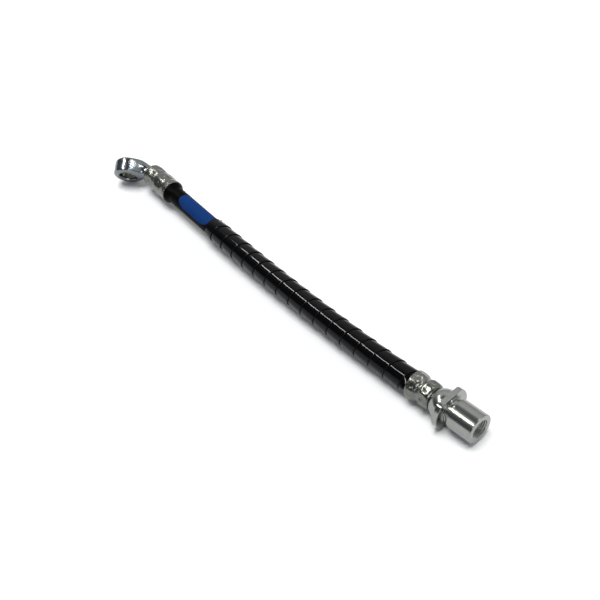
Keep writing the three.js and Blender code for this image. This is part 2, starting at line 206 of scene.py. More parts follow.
# Identification mark
MARK_SETBACK = 13.0
MARK_FILM = 0.09
MARK_MIDDLE = np.radians(74)
MARK_HALF_ANGLE = np.radians(52)
MARK_LOW_ROUND = 8.6
MARK_HIGH_ROUND = 2.8
MARK_ROWS = 97
MARK_COLUMNS = 49
MARK_CORNER_START = 0.2
MARK_CORNER_SWEEP = 0.96
MARK_THIN_ENDS = 60
MARK_THIN_SIDES = 30
MARK_THINNEST = 0.03
MARK_SUNK = 0.03

# Camera, from the axes and outlines in the photograph. Its place is in millimetres
CAMERA_RIGHT = (0.6779, 0.7300, -0.0874)
CAMERA_TOP = (-0.4722, 0.5234, 0.7093)
CAMERA_BACK = (0.5635, -0.4396, 0.6994)
CAMERA_PLACE = (198.5, -216.6, 356.1)
CAMERA_LENS = 57.0
CAMERA_SENSOR = 36.0
CAMERA_NEAREST = 0.01

# Floor, half its side in metres, and its colour to the camera and in the metal: the lamps leave
# a white board slightly grey there, so it is a little over 1, and lights the object no more
FLOOR_HALF = 12.0
FLOOR_SEEN = (1.06, 1.06, 1.06, 1.0)

# Lamps, in metres. The key lights the object and isn't seen in it; the long lamps are only seen
# in it and face one point. Each long lamp has its two ends, width, radiance and colour
KEY_ENERGY = 2.45
KEY_SPREAD = np.radians(36)
KEY_PLACE = (-0.10, -0.08, 1.0)
LONG_LAMPS = {
    "lamp_long": ((-0.12, -0.47, 0.66), (-0.64, 0.06, 0.615), 0.022, 110.0, "#fffef8"),
    "lamp_over": ((0.01, 0.13, 0.79), (0.20, 0.29, 0.67), 0.07, 24.0, "#ffffff"),
    "lamp_front": ((0.47, -0.55, 0.34), (0.59, -0.16, 0.51), 0.16, 8.0, "#ffffff"),
}
LAMPS_FACE = (0.0, 0.0, 0.01)

# Sockets of a Mix node, whose inputs share their names
FACTOR = 0
NUMBER_A = 2
NUMBER_B = 3
COLOUR_A = 6
COLOUR_B = 7
MIXED_NUMBER = 0
MIXED_COLOUR = 2

# Sizes that follow
AXIS_HEIGHT = FLANGE_ACROSS / 2
EYE_HEIGHT = ((EYE_R - EYE_ROUND) * np.cos(EYE_TILT)
              + (EYE_THICK / 2 - EYE_ROUND) * np.sin(EYE_TILT) + EYE_ROUND)
BRACKET_INSERT = BRACKET_FERRULE["length"] - BRACKET_FERRULE["end_wall"] - SEAT_GAP
BANJO_INSERT = BANJO_FERRULE["length"] - BANJO_FERRULE["end_wall"] - SEAT_GAP
BRACKET_MOUTH = np.array([0.0, 0.0, AXIS_HEIGHT])
BANJO_MOUTH = np.array([-HOSE_RUN, HOSE_SIDE_STEP, EYE_HEIGHT])
BANJO_AXIS = np.array([-np.cos(BANJO_HEADING), np.sin(BANJO_HEADING), 0.0])


def spun(vector, axis, angle):
    """A vector turned about an axis."""
    turned = Matrix.Rotation(angle, 3, Vector(axis)) @ Vector(vector)
    return np.array(turned)


NECK_AXIS = spun(BANJO_AXIS, UP, NECK_BEND)
EYE_AXIS = spun(spun(BANJO_AXIS, UP, NECK_BEND + np.pi / 2), NECK_AXIS, -EYE_TILT)


def bell(x):
    """1 at 0, falling away smoothly on both sides."""
    return np.exp(-x * x)


def eased_step(x):
    """0 below 0, 1 above 1, and a smooth rise between."""
    x = np.clip(x, 0.0, 1.0)
    return x * x * (3 - 2 * x)


# Places along the straight ends and along the hose

def around(centre, axis, r, angle):
    """Points at radius r and an angle round an axis. All arguments may be arrays."""
    side = np.cross(UP, axis)
    side = side / np.linalg.norm(side, axis=-1, keepdims=True)
    lift = np.cross(axis, side)
    r = np.asarray(r)[..., None]
    angle = np.asarray(angle)[..., None]
    return centre + r * (np.cos(angle) * side + np.sin(angle) * lift)


def straight_placer(origin, axis):
    """Gives the function that places points round a straight axis."""
    def place(s, r, angle):
        return around(origin + np.asarray(s)[..., None] * axis, axis, r, angle)
    return place


def route_samples():
    """Closely spaced points of the hose's centre line, from bracket fitting to banjo fitting."""
    ends = [BRACKET_MOUTH, np.array([-HOSE_EASE, 0.0, AXIS_HEIGHT]),
            BANJO_MOUTH - HOSE_EASE * BANJO_AXIS, BANJO_MOUTH]
    t = np.linspace(0, 1, ROUTE_POINTS)[:, None]
    weights = [(1 - t) ** 3, 3 * t * (1 - t) ** 2, 3 * t ** 2 * (1 - t), t ** 3]
    bend = sum(weight * point for weight, point in zip(weights, ends))
    start = BRACKET_MOUTH + np.array([BRACKET_INSERT, 0.0, 0.0])
    end = BANJO_MOUTH + BANJO_INSERT * BANJO_AXIS
    return np.vstack([start, bend, end])


ROUTE = route_samples()
ROUTE_S = np.concatenate([[0.0], np.cumsum(np.linalg.norm(np.diff(ROUTE, axis=0), axis=1))])
HOSE_LENGTH = ROUTE_S[-1]
BANJO_MOUTH_S = HOSE_LENGTH - BANJO_INSERT


def route_point(s):
    """The hose's centre line at a distance along it."""
    return np.stack([np.interp(s, ROUTE_S, ROUTE[:, k]) for k in range(3)], axis=-1)


def on_route(s, r, angle):
    """Points round the hose's centre line at a distance along it."""
    s = np.clip(s, 0.0, HOSE_LENGTH)
    ahead = route_point(np.minimum(s + ROUTE_LOOK, HOSE_LENGTH))
    behind = route_point(np.maximum(s - ROUTE_LOOK, 0.0))
    axis = ahead - behind
    axis = axis / np.linalg.norm(axis, axis=-1, keepdims=True)
    return around(route_point(s), axis, r, angle)


# Meshes

def make_piece(name, points, faces, values=None):
    """A smooth-shaded object from points in millimetres. values holds one number a point by name."""
    mesh = bpy.data.meshes.new(name)
    mesh.from_pydata((ORIGIN + np.asarray(points) * MM).tolist(), [], faces)
    for key, numbers in (values or {}).items():
        layer = mesh.attributes.new(key, "FLOAT", "POINT")
        layer.data.foreach_set("value", np.asarray(numbers, dtype=np.float32).ravel())
    shape = bmesh.new()
    shape.from_mesh(mesh)
    bmesh.ops.recalc_face_normals(shape, faces=shape.faces)
    shape.to_mesh(mesh)
    shape.free()
    mesh.shade_smooth()
    piece = bpy.data.objects.new(name, mesh)
    bpy.context.scene.collection.objects.link(piece)
    return piece


def grid_faces(rows, columns, loop_rows, loop_columns):
    """Four-sided faces over a grid of points, closed round either way or both."""
    faces = []
    for i in range(rows if loop_rows else rows - 1):
        below = ((i + 1) % rows) * columns
        for j in range(columns if loop_columns else columns - 1):
            k = (j + 1) % columns
            faces.append((i * columns + j, i * columns + k, below + k, below + j))
    return faces


def revolved_piece(name, s, r, place, values=None):
    """A closed wall: s and r have one row for each point of the section and a column a side."""
    rows, sides = r.shape
    angle = np.broadcast_to(np.arange(sides) / sides * TURN, r.shape)
    points = place(s, r, angle).reshape(-1, 3)
    return make_piece(name, points, grid_faces(rows, sides, True, True), values)


def eased_corners(corners, segments=4, support=0.07, longest_share=0.4, support_share=0.08):
    """Section points from corners (s, r, rounding). Close support points keep flats flat."""
    places = np.array([corner[:2] for corner in corners], dtype=float)
    points = []
    for i, (s, r, rounding) in enumerate(corners):
        here = places[i]
        to_before = places[i - 1] - here
        to_after = places[(i + 1) % len(places)] - here
        before_length = np.linalg.norm(to_before)
        after_length = np.linalg.norm(to_after)
        to_before = to_before / before_length
        to_after = to_after / after_length
        if rounding <= 0:
            points.append(here)
            continue
        half = 0.5 * np.arccos(np.clip(to_before @ to_after, -1, 1))
        longest = longest_share * min(before_length, after_length)
        reach = min(rounding / np.tan(half), longest)
        points.append(here + to_before * (reach + min(support, support_share * before_length)))
        for t in np.linspace(0, 1, segments + 1):
            start = here + to_before * reach
            end = here + to_after * reach
            points.append((1 - t) ** 2 * start + 2 * t * (1 - t) * here + t ** 2 * end)
        points.append(here + to_after * (reach + min(support, support_share * after_length)))
    return np.array(points)


# Ferrules

def ferrule_body_r(ferrule, s):
    """The shell's taper with its grooves, before the dents."""
    r = ferrule["mouth_r"] + (ferrule["end_r"] - ferrule["mouth_r"]) * s / ferrule["length"]
    for at, depth, reach in ferrule["grooves"]:
        r = r - depth * bell((s - at) / reach)
    return r


def ferrule_outer_r(ferrule, s, angle):
    """The crimped outside: dents with a pressed floor, and metal pushed up between the jaws."""
    r = ferrule_body_r(ferrule, s) + 0 * angle
    for at, turn in ferrule["rows"]:
        phase = 0.5 + 0.5 * np.cos(DENT_COUNT * angle + turn * TURN)
        r = r - DENT_DEPTH * bell((s - at) / DENT_REACH) * phase ** DENT_SHARPNESS
        r = r + RIDGE_HEIGHT * bell((s - at) / RIDGE_REACH) * (1 - phase) ** RIDGE_SHARPNESS
    # Both sweeps stop just short of a quarter turn, where the round would be vertical
    past = np.clip((s - ferrule["length"] + ferrule["shoulder"]) / ferrule["shoulder"], 0, 1)
    r = r - SHOULDER_DROP * ferrule["shoulder"] * (1 - np.sqrt(1 - 0.995 * past * past))
    short = np.clip(1 - s / MOUTH_ROUND, 0, 1)
    return r - MOUTH_ROUND * (1 - np.sqrt(1 - 0.98 * short * short))


def ferrule_inner_r(ferrule, s):
    """The inside, which the dents reach as one ring each."""
    r = ferrule_body_r(ferrule, s) - ferrule["wall"]
    for at, turn in ferrule["rows"]:
        r = r - DENT_DEPTH * bell((s - at) / DENT_REACH)
    return r


def ferrule_outside_rows(ferrule):
    """Distances of the rows along the outside, close together at the mouth and the shoulder."""
    quarter = np.pi / 2
    shoulder = ferrule["shoulder"]
    return np.concatenate([
        MOUTH_ROUND * (1 - np.cos(np.linspace(0, quarter, MOUTH_ROWS))),
        np.arange(MOUTH_ROUND + 0.15, ferrule["length"] - shoulder, FERRULE_STEP),
        ferrule["length"] - shoulder * (1 - np.sin(np.linspace(0, quarter, SHOULDER_ROWS))),
    ])


def ferrule_inside_rows(ferrule, end_r):
    """Distance and radius of each row of the end wall, the inside and the mouth's rim."""
    length = ferrule["length"]
    hole_r = SHANK_R + CRIMP_GAP
    lip_r = ferrule["mouth_r"] - MOUTH_LIP
    inside = np.arange(length - ferrule["end_wall"], MOUTH_BEVEL, -FERRULE_INSIDE_STEP)
    rows = [(length, end_r - 0.15), (length, hole_r + 0.3), (length - 0.1, hole_r + 0.05),
            (length - 0.3, hole_r), (inside[0], hole_r)]
    rows += [(s, ferrule_inner_r(ferrule, s)) for s in inside]
    rows += [(MOUTH_BEVEL, ferrule_inner_r(ferrule, MOUTH_BEVEL)), (0.1, lip_r - 0.05),
             (0.03, lip_r + 0.03), (0.0, lip_r + 0.1)]
    return rows


def ferrule_piece(name, ferrule, place):
    """A crimped shell: outside, end wall with the shank's hole, inside and rim."""
    angle = (np.arange(FERRULE_SIDES) / FERRULE_SIDES * TURN)[None, :]
    outside = ferrule_outside_rows(ferrule)[:, None]
    outer_r = ferrule_outer_r(ferrule, outside, angle)
    rows_s = [outside + 0 * angle]
    rows_r = [outer_r]
    for s, r in ferrule_inside_rows(ferrule, outer_r[-1].mean()):
        rows_s.append(s + 0 * angle)
        rows_r.append(r + 0 * angle)
    return revolved_piece(name, np.vstack(rows_s), np.vstack(rows_r), place)


# Bracket fitting

def flange_rim_r(angle, inset):
    """Radius of the flange's outline, a round plate with two flats, moved in by inset."""
    rim = FLANGE_R - inset
    flat = FLANGE_ACROSS / 2 - inset
    corner = FLANGE_CORNER_R - inset
    centre = np.array([np.sqrt((rim - corner) ** 2 - (flat - corner) ** 2), flat - corner])
    cosine = np.abs(np.cos(angle))
    sine = np.maximum(np.abs(np.sin(angle)), 1e-9)
    along = centre[0] * cosine + centre[1] * sine
    on_corner = along + np.sqrt(np.maximum(corner ** 2 - centre @ centre + along ** 2, 0))
    folded = np.arctan2(sine, cosine)
    on_flat = folded > np.arctan2(flat, centre[0])
    on_rim = folded < np.arctan2(centre[1], centre[0])
    return np.where(on_flat, flat / sine, np.where(on_rim, rim, on_corner))


# Places along the bracket fitting, from its ferrule's mouth
BRACKET_SHANK_START = BRACKET_INSERT + SEAT_GAP
SHOULDER_START = BRACKET_FERRULE["length"] + SEAT_GAP
FLANGE_BACK = SHOULDER_START + SHOULDER_LENGTH
FLANGE_FRONT = FLANGE_BACK + FLANGE_THICK
CLIP_GROOVE_START = FLANGE_FRONT + COLLAR_LENGTH
BARREL_START = CLIP_GROOVE_START + CLIP_GROOVE_LENGTH
BARREL_FRONT = BARREL_START + BARREL_LENGTH
HOLE_END = BARREL_FRONT - THREAD_DEPTH


def thread_r(s, angle):
    """Inside of the threaded hole: a right-handed V groove that runs out into the mouth's cone."""
    turn = (s / THREAD_PITCH - angle / TURN) % 1.0
    groove = THREAD_STEEPNESS * (1 - np.abs(2 * turn - 1)) - THREAD_CREST_FLAT
    r = THREAD_HOLE_R + (THREAD_R - THREAD_HOLE_R) * np.clip(groove, 0, 1)
    cone = THREAD_MOUTH_R - (BARREL_FRONT - s)
    run_out = eased_step((s - HOLE_END - THREAD_END_GAP) / THREAD_RUN_OUT)
    return np.maximum(THREAD_HOLE_R + (r - THREAD_HOLE_R) * run_out, cone)


def fitting_back_section():
    """Nipple, shank and domed shoulder, up to the back of the flange."""
    dome = [(SHOULDER_START + DOME_SHARE * SHOULDER_LENGTH * x,
             SHOULDER_START_R + (SHOULDER_END_R - SHOULDER_START_R) * np.sin(0.5 * np.pi * x), 0)
            for x in np.linspace(0.06, 1, DOME_ROWS)]
    points = eased_corners([
        (NIPPLE_SETBACK, PASSAGE_R, BORE_EDGE), (NIPPLE_SETBACK, NIPPLE_R - 0.05, NIPPLE_EDGE),
        (NIPPLE_SETBACK + 1, NIPPLE_R, NIPPLE_EDGE), (BRACKET_SHANK_START, NIPPLE_R, BORE_EDGE),
        (BRACKET_SHANK_START, SHANK_R, NIPPLE_EDGE), (SHOULDER_START, SHANK_R, BORE_EDGE),
        (SHOULDER_START, SHOULDER_START_R, SHOULDER_EDGE), *dome,
        (FLANGE_BACK, SHOULDER_END_R, FLANGE_ROOT), (FLANGE_BACK, SHOULDER_END_R + 0.4, 0),
    ])
    return points[1:-2]


def flange_rim_section():
    """Distance, and how far the rim is moved in, over both bevelled edges of the flange."""
    quarter = np.linspace(0, np.pi / 2, 6)
    half = [(FLANGE_BACK, FLANGE_BEVEL + 0.06)]
    half += [(FLANGE_BACK + FLANGE_BEVEL * (1 - np.cos(q)), FLANGE_BEVEL * (1 - np.sin(q)))
             for q in quarter]
    half.append((FLANGE_BACK + FLANGE_BEVEL + 0.07, 0.0))
    return half + [(FLANGE_BACK + FLANGE_FRONT - s, inset) for s, inset in reversed(half)]


def fitting_front_section():
    """Collar, clip groove, barrel and the cone into the thread."""
    points = eased_corners([
        (FLANGE_FRONT, COLLAR_R + 0.6, 0), (FLANGE_FRONT, COLLAR_R, COLLAR_ROOT),
        (CLIP_GROOVE_START, COLLAR_R, COLLAR_EDGE),
        (CLIP_GROOVE_START, CLIP_GROOVE_R, CLIP_GROOVE_ROOT),
        (BARREL_START, CLIP_GROOVE_R, CLIP_GROOVE_ROOT),
        (BARREL_START, BARREL_R, BARREL_BACK_EDGE), (BARREL_FRONT, BARREL_R, BARREL_EDGE),
        (BARREL_FRONT, THREAD_MOUTH_R, THREAD_MOUTH_EDGE),
        (BARREL_FRONT - 0.3, THREAD_MOUTH_R - 0.3, 0),
    ])
    return points[2:-1]


def hole_bottom_section():
    """Cone seat at the end of the hole, and the passage behind it."""
    points = eased_corners([
        (HOLE_END, THREAD_HOLE_R, HOLE_ROOT), (HOLE_END - SEAT_CONE_LENGTH, PASSAGE_R, HOLE_ROOT),
        (NIPPLE_SETBACK + 4, PASSAGE_R, 0),
    ])
    return points[2:]


def groove_shade(s, r):
    """Painted shade over the threaded hole, apart from the flanks that face the mouth and catch
    light.
    """
    in_hole = (s > HOLE_END - SEAT_CONE_LENGTH) & (r < THREAD_MOUTH_R - 0.1)
    front_flank = np.clip(-np.gradient(r, axis=0) / FLANK_RISE, 0, 1)
    return in_hole * (THREAD_SHADE - THREAD_SHADE * front_flank)


def bracket_fitting_piece():
    angle = (np.arange(FITTING_SIDES) / FITTING_SIDES * TURN)[None, :]
    thread_s = np.arange(BARREL_FRONT - 0.34, HOLE_END, -THREAD_PITCH / THREAD_ROWS)
    rows = [(s, r + 0 * angle) for s, r in fitting_back_section()]
    rows += [(s, flange_rim_r(angle, inset)) for s, inset in flange_rim_section()]
    rows += [(s, r + 0 * angle) for s, r in fitting_front_section()]
    rows += [(s, thread_r(s, angle)) for s in thread_s]
    rows += [(s, r + 0 * angle) for s, r in hole_bottom_section()]
    all_s = np.vstack([s + 0 * angle for s, r in rows])
    all_r = np.vstack([r for s, r in rows])
    place = straight_placer(BRACKET_MOUTH, np.array([1.0, 0.0, 0.0]))
    return revolved_piece("fitting_threaded", all_s, all_r, place,
                          {"bore": groove_shade(all_s, all_r)})


# Banjo fitting, as one smooth form: a distance is negative inside the metal

def joined(a, b, fillet):
    """Union of two forms with a fillet between them."""
    near = np.maximum(fillet - np.abs(a - b), 0) / fillet
    return np.minimum(a, b) - 0.25 * fillet * near * near


def cut_away(a, b, round_over):
    """Form a without form b, with its new edge rounded over."""
    return -joined(-a, b, round_over)


def along_banjo(s):
    """The point at a distance along the banjo ferrule's axis, from its mouth."""
    return BANJO_MOUTH + s * BANJO_AXIS


BANJO_SHANK_START = BANJO_INSERT + SEAT_GAP
BEND_START = along_banjo(BANJO_FERRULE["length"] + NECK_STRAIGHT)
BEND_SIDE = np.cross(UP, BANJO_AXIS)
BEND_CENTRE = BEND_START + NECK_BEND_R * BEND_SIDE
BEND_END = BEND_CENTRE - NECK_BEND_R * spun(BEND_SIDE, UP, NECK_BEND)
EYE_CENTRE = BEND_END + NECK_REACH * NECK_AXIS


def from_segment(points, start, end):
    """Distance from a straight piece of line."""
    span = end - start
    t = np.clip((points - start) @ span / (span @ span), 0, 1)
    return np.linalg.norm(points - start - t[:, None] * span, axis=1)


def from_neck_line(points):
    """Distance from the neck's centre line: straight, bend, straight."""
    first = from_segment(points, along_banjo(BANJO_SHANK_START), BEND_START)
    last = from_segment(points, BEND_END, EYE_CENTRE)
    offset = points - BEND_CENTRE
    swept = np.arctan2(offset @ BANJO_AXIS, -(offset @ BEND_SIDE))
    out = np.hypot(offset[:, 0], offset[:, 1])
    arc = np.hypot(out - NECK_BEND_R, offset[:, 2])
    arc = np.where((swept > 0) & (swept < NECK_BEND), arc, FAR)
    return np.minimum(np.minimum(first, last), arc)


def eye_parts(points):
    """Height above the eye's middle plane, and distance from its axis."""
    offset = points - EYE_CENTRE
    height = offset @ EYE_AXIS
    out = np.linalg.norm(offset - height[:, None] * EYE_AXIS, axis=1)
    return height, out


def eye_disc(height, out):
    """The eye before its hole, with a wider round on its back edge."""
    rounding = np.where(height > 0, EYE_ROUND, EYE_BACK_ROUND)
    past_rim = out - EYE_R + rounding
    past_face = np.abs(height) - EYE_THICK / 2 + rounding
    return (np.hypot(np.maximum(past_rim, 0), np.maximum(past_face, 0))
            + np.minimum(np.maximum(past_rim, past_face), 0) - rounding)


def banjo_form(points):
    """The whole fitting: eye, neck that swells towards it, hole, nipple and fluid passage."""
    along = (points - BANJO_MOUTH) @ BANJO_AXIS
    line = from_neck_line(points)
    from_eye = np.linalg.norm(points - EYE_CENTRE, axis=1)
    swell = NECK_SWELL * eased_step((NECK_SWELL_START - from_eye) / NECK_SWELL_RUN)
    neck = np.maximum(line - NECK_R - swell, BANJO_SHANK_START - along)
    height, out = eye_parts(points)
    body = joined(eye_disc(height, out), neck, NECK_FILLET)
    body = cut_away(body, out - EYE_HOLE_R, JOIN_FOR_BEVEL * EYE_HOLE_BEVEL)
    straight = np.linalg.norm(points - BANJO_MOUTH - along[:, None] * BANJO_AXIS, axis=1)
    nipple = np.maximum(straight - NIPPLE_R, np.maximum(NIPPLE_SETBACK - along,
                                                        along - BANJO_SHANK_START - 1))
    body = joined(body, nipple, NIPPLE_FILLET)
    passage = np.minimum(line, np.where(along < BANJO_SHANK_START + 1, straight, FAR)) - PASSAGE_R
    return cut_away(body, passage, PASSAGE_EDGE)


def form_slope(form, points):
    """How the form's value grows along X, Y and Z."""
    slope = np.empty_like(points)
    for k in range(3):
        nudge = np.zeros(3)
        nudge[k] = SLOPE_STEP
        slope[:, k] = (form(points + nudge) - form(points - nudge)) / (2 * SLOPE_STEP)
    return slope


def settled(form, points, rounds):
    """Points moved onto the surface of the form."""
    for _ in range(rounds):
        slope = form_slope(form, points)
        steep = np.maximum((slope * slope).sum(axis=1), LEAST_STEEPNESS)
        points = points - (form(points) / steep)[:, None] * slope
    return points


def inside_grid(form, low, high):
    """Which points of a grid through the box lie inside the form."""
    counts = np.ceil((high - low) / NET_STEP).astype(int) + 1
    axes = [low[k] + NET_STEP * np.arange(counts[k]) for k in range(3)]
    inside = np.empty(counts, dtype=bool)
    for i, x in enumerate(axes[0]):
        y, z = np.meshgrid(axes[1], axes[2], indexing="ij")
        layer = np.stack([np.full(y.size, x), y.ravel(), z.ravel()], axis=1)
        inside[i] = (form(layer) < 0).reshape(y.shape)
    return inside


def surface_cells(inside):
    """Cells of the grid with points both inside and outside."""
    rows, columns, layers = (count - 1 for count in inside.shape)
    corners = [inside[i:rows + i, j:columns + j, k:layers + k]
               for i in (0, 1) for j in (0, 1) for k in (0, 1)]
    return np.logical_or.reduce(corners) & ~np.logical_and.reduce(corners)


def surface_quads(inside, number):
    """A face round each grid edge that crosses the surface, from its four cells' numbers."""
    quads = []
    for k in range(3):
        changed = np.argwhere(np.diff(inside.astype(np.int8), axis=k) != 0)
        back_i = np.eye(3, dtype=int)[(k + 1) % 3]
        back_j = np.eye(3, dtype=int)[(k + 2) % 3]
        ring = [changed, changed - back_i, changed - back_i - back_j, changed - back_j]
        quads.append(np.stack([number[tuple(cell.T)] for cell in ring], axis=1))
    return np.vstack(quads)


def evened_out(form, points, quads):
    """Points pulled towards their neighbours and set back on the surface."""
    edges = np.vstack([quads[:, [0, 1]], quads[:, [1, 2]], quads[:, [2, 3]], quads[:, [3, 0]]])
    edges = np.unique(np.sort(edges, axis=1), axis=0)
    ties = np.bincount(edges.ravel(), minlength=len(points))[:, None]
    for _ in range(NET_ROUNDS):
        total = np.zeros_like(points)
        np.add.at(total, edges[:, 0], points[edges[:, 1]])
        np.add.at(total, edges[:, 1], points[edges[:, 0]])
        points = settled(form, (1 - NET_PULL) * points + NET_PULL * total / ties, 1)
    return settled(form, points, SETTLING_ROUNDS)


def surface_net(form, low, high):
    """Small four-sided faces over the surface of a form, evened out and set on the surface."""
    inside = inside_grid(form, low, high)
    cells = surface_cells(inside)
    number = np.full(cells.shape, -1)
    number[cells] = np.arange(cells.sum())
    points = low + NET_STEP * (np.argwhere(cells) + 0.5)
    quads = surface_quads(inside, number)
    return evened_out(form, points, quads), quads


def banjo_fitting_piece():
    neck_room = NECK_R + NET_MARGIN
    eye_room = np.hypot(EYE_R, EYE_THICK / 2) + NET_MARGIN
    neck = np.array([along_banjo(NIPPLE_SETBACK), BEND_START, BEND_END])
    low = np.minimum(neck.min(axis=0) - neck_room, EYE_CENTRE - eye_room)
    high = np.maximum(neck.max(axis=0) + neck_room, EYE_CENTRE + eye_room)
    points, quads = surface_net(banjo_form, low, high)
    out = eye_parts(points)[1]
    bore = 1 - eased_step((out - EYE_HOLE_R - BORE_FADE_START) / BORE_FADE)
    return make_piece("fitting_banjo", points, quads.tolist(), {"bore": bore})


# Hose cover, guard and mark

def cover_outer_r(s):
    """Radius of the cover's outside at each distance, gripped in both ferrules."""
    into_bracket = BRACKET_INSERT - s
    into_banjo = s - BANJO_MOUTH_S
    flare_r = BANJO_FERRULE["mouth_r"] - MOUTH_LIP - CRIMP_GAP
    near = np.clip(1 + into_banjo / COVER_FLARE, 0, 1)
    free = HOSE_R + (flare_r - HOSE_R) * eased_step(near)
    in_bracket = ferrule_inner_r(BRACKET_FERRULE, np.maximum(into_bracket, 0)) - CRIMP_GAP
    in_banjo = ferrule_inner_r(BANJO_FERRULE, np.maximum(into_banjo, 0)) - CRIMP_GAP
    in_banjo = np.minimum(in_banjo, flare_r)
    blend = eased_step(into_bracket / COVER_GRIP_EASE)
    bracket_side = HOSE_R + (in_bracket - HOSE_R) * blend
    return np.where(into_bracket > 0, bracket_side, np.where(into_banjo > 0, in_banjo, free))


def hose_cover_piece():
    """The rubber cover, with close rows where its outside changes."""
    bare = BANJO_MOUTH_S - GUARD_BARE_END - 4
    outside = np.concatenate([
        np.arange(0, BRACKET_INSERT + 2, 0.5),
        np.arange(BRACKET_INSERT + 2, bare, 2.0),
        np.arange(bare, BANJO_MOUTH_S - COVER_FLARE, 0.8),
        np.arange(BANJO_MOUTH_S - COVER_FLARE, BANJO_MOUTH_S + 2, 0.2),
        np.arange(BANJO_MOUTH_S + 2, HOSE_LENGTH - 0.2, 0.6),
        [HOSE_LENGTH],
    ])
    inside = np.linspace(HOSE_LENGTH, 0, 60)
    s = np.concatenate([outside, inside])
    r = np.concatenate([cover_outer_r(outside), np.full(len(inside), COVER_INNER_R)])
    shape = (len(s), COVER_SIDES)
    return revolved_piece("hose_rubber_cover", np.broadcast_to(s[:, None], shape),
                          np.broadcast_to(r[:, None], shape), on_route)


GUARD_WIDTH = GUARD_PITCH + GUARD_OVERLAP
GUARD_INNER_R = HOSE_R + GUARD_SNUG
GUARD_TUCK_R = GUARD_INNER_R + GUARD_THICK
GUARD_LIP_INNER_R = GUARD_TUCK_R + GUARD_LIFT
GUARD_OUTER_R = GUARD_LIP_INNER_R + GUARD_THICK


def guard_top_r(v):
    """Outside of the strip at a distance from its raised edge, which curls in a little."""
    rise = 1 - np.clip(v / GUARD_PITCH, 0, 1)
    curl = GUARD_CURL * np.clip(1 - v / GUARD_CURL_WIDTH, 0, 1) ** 2
    return GUARD_TUCK_R + (GUARD_OUTER_R - GUARD_TUCK_R) * rise - curl


def guard_under_r(v):
    """Underside of the strip: raised over the turn beneath it, then down on the hose."""
    past = np.clip((v - GUARD_OVERLAP - GUARD_LIP_CLEAR) / GUARD_LIP_FALL, 0, 1)
    return GUARD_LIP_INNER_R + (GUARD_INNER_R - GUARD_LIP_INNER_R) * past


def guard_section(start_v, end_v):
    """The strip's section between two distances from its raised edge, with both edges rounded."""
    over = np.array([0.0, 0.02, 0.06, 0.12, 0.2, 0.32, 0.46, 0.6, 0.8, 2.5, 6.0,
                     GUARD_WIDTH - 0.3, GUARD_WIDTH - 0.1, GUARD_WIDTH])
    under = np.array([GUARD_WIDTH, GUARD_WIDTH - 0.1, 6.0, 2.2, GUARD_OVERLAP + 0.6,
                      GUARD_OVERLAP + 0.1, 1.0, 0.1, 0.0])
    v_over = np.clip(over, start_v, end_v)
    v_under = np.clip(under, start_v, end_v)
    nearest_over = np.minimum(v_over - start_v, end_v - v_over)
    nearest_under = np.minimum(v_under - start_v, end_v - v_under)
    ease_over = np.clip(1 - nearest_over / GUARD_EDGE_ROUND, 0, 1)
    ease_under = np.clip(1 - nearest_under / GUARD_UNDER_ROUND, 0, 1)
    r_over = guard_top_r(v_over) - GUARD_EDGE_ROUND * (1 - np.sqrt(1 - ease_over ** 2))
    r_under = guard_under_r(v_under) + GUARD_UNDER_ROUND * (1 - np.sqrt(1 - ease_under ** 2))
    return np.concatenate([v_over, v_under]), np.concatenate([r_over, r_under])


def spiral_guard_piece():
    """The strip wound along the hose and cut square at both ends."""
    first = BRACKET_INSERT + SEAT_GAP
    last = BANJO_MOUTH_S - GUARD_BARE_END
    step = GUARD_PITCH / GUARD_FACETS
    first_facet = int(np.ceil((GUARD_LEAST_CUT - GUARD_WIDTH) / step))
    last_facet = int(np.floor((last - first - GUARD_LEAST_CUT) / step))
    rows_s, rows_r, rows_angle, across_strip = [], [], [], []
    for i in range(first_facet, last_facet + 1):
        start = first + i * step
        v, r = guard_section(max(0.0, first - start), min(GUARD_WIDTH, last - start))
        rows_s.append(start + v)
        rows_r.append(r)
        rows_angle.append(np.full(len(v), GUARD_PHASE - i / GUARD_FACETS * TURN))
        across_strip.append(v)
    columns = len(rows_s[0])
    points = on_route(np.array(rows_s), np.array(rows_r), np.array(rows_angle)).reshape(-1, 3)
    faces = grid_faces(len(rows_s), columns, False, True)
    tail = (len(rows_s) - 1) * columns
    faces.append(tuple(range(columns)))
    faces.append(tuple(range(tail, tail + columns)))
    return make_piece("guard_spiral", points, faces, {"across": np.array(across_strip)})


def mark_outline():
    """Distance along the hose and angle round it, for a grid over the rounded patch."""
    start = BANJO_MOUTH_S - GUARD_BARE_END + SEAT_GAP
    end = BANJO_MOUTH_S - MARK_SETBACK
    across = np.linspace(-1, 1, MARK_ROWS)
    along = np.linspace(0, 1, MARK_COLUMNS)
    past = np.maximum(0, np.abs(across) - MARK_CORNER_START) / (1 - MARK_CORNER_START)
    reach = np.where(across < 0, MARK_LOW_ROUND, MARK_HIGH_ROUND)
    inset = reach * (1 - np.sqrt(1 - MARK_CORNER_SWEEP * past * past))
    s_low = (start + inset)[:, None]
    s_high = (end - inset)[:, None]
    s = s_low + (s_high - s_low) * along[None, :]
    angle = np.broadcast_to((MARK_MIDDLE + across * MARK_HALF_ANGLE)[:, None], s.shape)
    edge = np.minimum(np.minimum(along, 1 - along)[None, :] * MARK_THIN_ENDS,
                      (1 - np.abs(across))[:, None] * MARK_THIN_SIDES)
    return s, angle, MARK_FILM * np.sqrt(np.clip(edge, MARK_THINNEST, 1))


